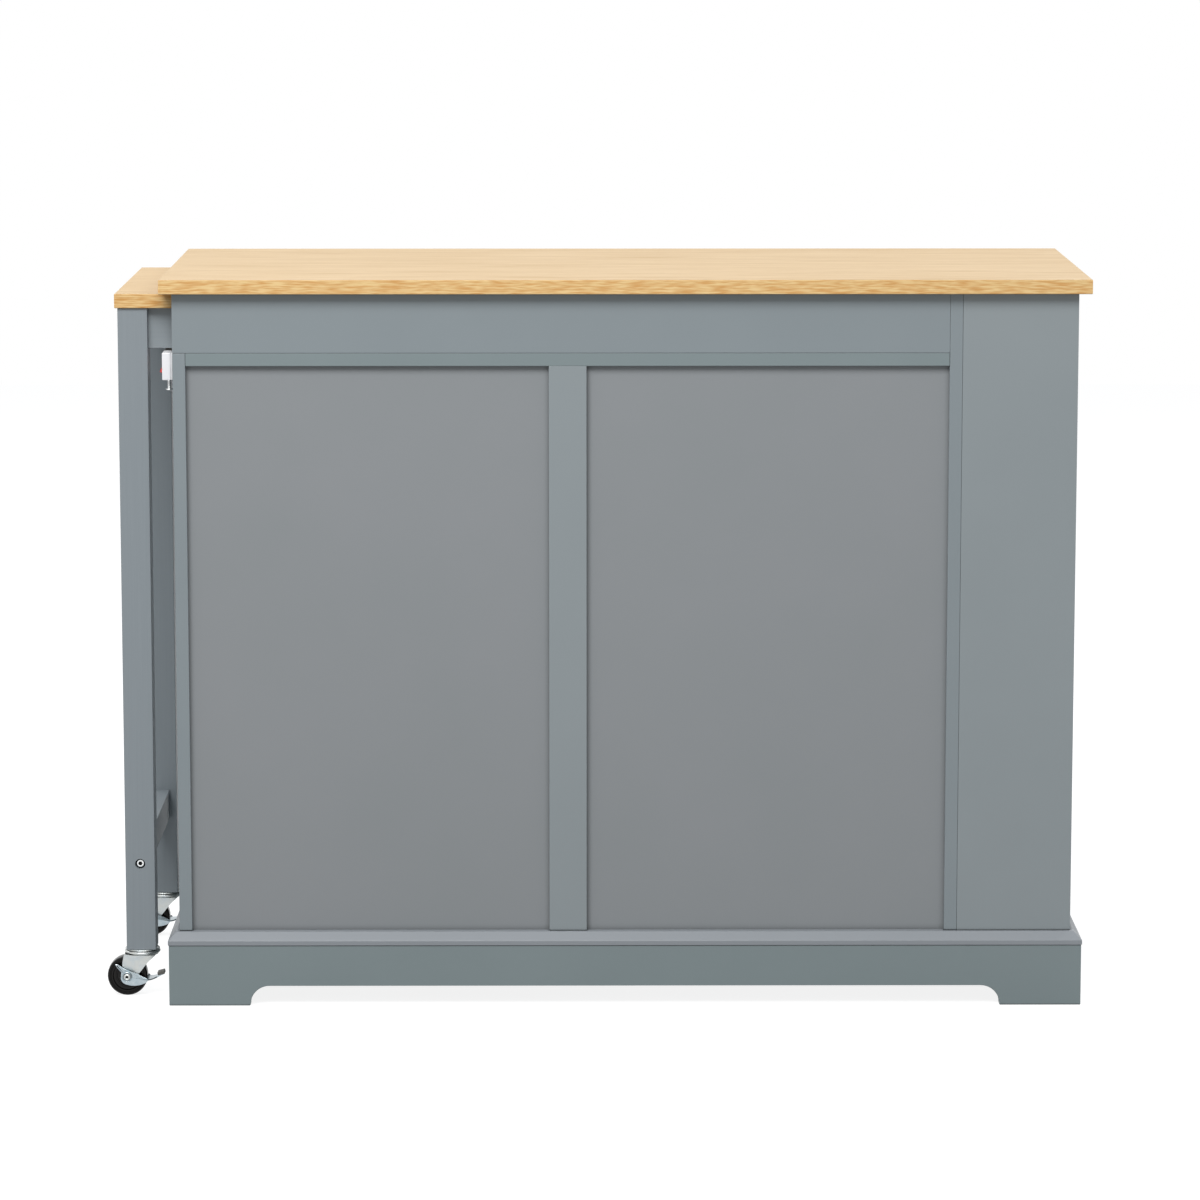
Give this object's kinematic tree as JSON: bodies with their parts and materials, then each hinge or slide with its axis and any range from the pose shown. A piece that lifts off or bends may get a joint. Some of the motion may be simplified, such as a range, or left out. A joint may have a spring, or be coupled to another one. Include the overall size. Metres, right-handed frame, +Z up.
{
  "type": "kitchen island",
  "caption": "Kitchen island cabinet with doors, open end shelves and a side table on casters that slides out from under the worktop.",
  "frame": {"origin": "on the floor under the middle of the whole island's box, with the side table closed", "axes": "+X towards the open end shelves and away from the side table, +Y towards the doors, -Y towards the closed panelled face, +Z up"},
  "size_m": [1.2308, 0.49, 0.914],
  "materials": {
    "worktop_laminate": "satin oak-look laminate with a fine straight grain",
    "table_laminate": "satin oak-look laminate with a fine straight grain",
    "painted_board": "satin grey-blue paint on board",
    "painted_base": "satin grey-blue paint on board",
    "painted_panel": "satin grey paint on thin board",
    "painted_doors": "satin grey-blue paint on machined fibreboard",
    "painted_table_frame": "satin grey-blue paint on solid wood",
    "beech_dowel": "bare fluted hardwood",
    "zinc_steel": "bright zinc plate",
    "nickel_hinge": "satin nickel plate",
    "nickel_knob": "satin nickel plate",
    "caster_wheel": "matt black tread on a moulded core",
    "strip_plastic": "semi-gloss white moulding",
    "gland_plastic": "soft white moulding",
    "rocker_plastic": "translucent red moulding",
    "catch_plastic": "white moulding with magnets"
  },
  "bodies": {
    "cabinet": {"worktop": "worktop_laminate", "base_board": "painted_base", "plinth_back_board": "painted_base", "plinth_front_board": "painted_base", "plinth_end_boards": "painted_base", "plinth_corner_blocks": "painted_base", "left_side_panel": "painted_board", "centre_partition": "painted_board", "divider_panel": "painted_board", "deck_board": "painted_board", "upper_back_rail": "painted_board", "upper_front_rail": "painted_board", "back_panel_left": "painted_panel", "back_panel_right": "painted_panel", "centre_stile": "painted_board", "end_back_panel": "painted_board", "end_front_panel": "painted_board", "end_shelves": "painted_board", "adjustable_shelves": "painted_board", "shelf_pins": "zinc_steel", "worktop_brackets": "zinc_steel", "runner_packers": "painted_board", "runner_outer_members": "zinc_steel", "deck_screws": "zinc_steel", "frame_hinge_leaves": "nickel_hinge", "hinge_pins": "nickel_hinge", "door_catches": "catch_plastic", "strip_housing": "strip_plastic", "strip_clamp_screw": "zinc_steel", "strip_cord_gland": "gland_plastic"},
    "side_table": {"table_top": "table_laminate", "table_leg_near": "painted_table_frame", "table_leg_far": "painted_table_frame", "table_apron_near": "painted_table_frame", "table_apron_far": "painted_table_frame", "table_end_apron": "painted_table_frame", "table_cross_rail": "painted_table_frame", "leg_stretcher": "painted_table_frame", "leg_bolts": "zinc_steel", "barrel_nuts": "zinc_steel", "stretcher_dowels": "beech_dowel", "runner_inner_members": "zinc_steel", "caster_mount_near": "zinc_steel", "caster_mount_far": "zinc_steel"},
    "runner_middles": {"runner_middle_members": "zinc_steel"},
    "near_caster": {"caster_fork_near": "zinc_steel", "caster_axle_near": "zinc_steel"},
    "near_wheel": {"caster_wheel_near": "caster_wheel"},
    "near_brake": {"brake_lever_near": "zinc_steel"},
    "far_caster": {"caster_fork_far": "zinc_steel", "caster_axle_far": "zinc_steel"},
    "far_wheel": {"caster_wheel_far": "caster_wheel"},
    "far_brake": {"brake_lever_far": "zinc_steel"},
    "left_door": {"door_left": "painted_doors", "door_knob_left": "nickel_knob", "door_hinge_leaves_left": "nickel_hinge"},
    "right_door": {"door_right": "painted_doors", "door_knob_right": "nickel_knob", "door_hinge_leaves_right": "nickel_hinge"},
    "rocker": {"power_rocker": "rocker_plastic"}
  },
  "joints": [
    {"name": "table_slide", "type": "slide", "parent": "cabinet", "child": "side_table", "axis": [-1, 0, 0], "range_m": [0, 0.6]},
    {"name": "runner_middle_slide", "type": "slide", "parent": "cabinet", "child": "runner_middles", "axis": [-1, 0, 0], "range_m": [0, 0.3]},
    {"name": "near_caster_swivel", "type": "hinge", "parent": "side_table", "child": "near_caster", "pos_m": [-0.5711, -0.178, 0.056], "axis": [0, 0, 1], "range_deg": [-120, 120]},
    {"name": "near_wheel_roll", "type": "hinge", "parent": "near_caster", "child": "near_wheel", "pos_m": [-0.59, -0.178, 0.0254], "axis": [0, 1, 0], "continuous": true},
    {"name": "near_brake_press", "type": "hinge", "parent": "near_caster", "child": "near_brake", "pos_m": [-0.59, -0.178, 0.0254], "axis": [0, 1, 0], "range_deg": [0, 12]},
    {"name": "far_caster_swivel", "type": "hinge", "parent": "side_table", "child": "far_caster", "pos_m": [-0.5711, 0.168, 0.056], "axis": [0, 0, 1], "range_deg": [-120, 120]},
    {"name": "far_wheel_roll", "type": "hinge", "parent": "far_caster", "child": "far_wheel", "pos_m": [-0.59, 0.168, 0.0254], "axis": [0, 1, 0], "continuous": true},
    {"name": "far_brake_press", "type": "hinge", "parent": "far_caster", "child": "far_brake", "pos_m": [-0.59, 0.168, 0.0254], "axis": [0, 1, 0], "range_deg": [0, 12]},
    {"name": "left_door_hinge", "type": "hinge", "parent": "cabinet", "child": "left_door", "pos_m": [-0.5024, 0.2233, 0.45], "axis": [0, 0, 1], "range_deg": [0, 110]},
    {"name": "right_door_hinge", "type": "hinge", "parent": "cabinet", "child": "right_door", "pos_m": [0.4402, 0.2233, 0.45], "axis": [0, 0, -1], "range_deg": [0, 110]},
    {"name": "rocker_tip", "type": "hinge", "parent": "cabinet", "child": "rocker", "pos_m": [-0.5286, -0.203, 0.804], "axis": [0, -1, 0], "range_deg": [0, 18]}
  ],
  "couplings": [
    {"joint": "runner_middle_slide", "follows": "table_slide", "ratio": 0.5}
  ]
}
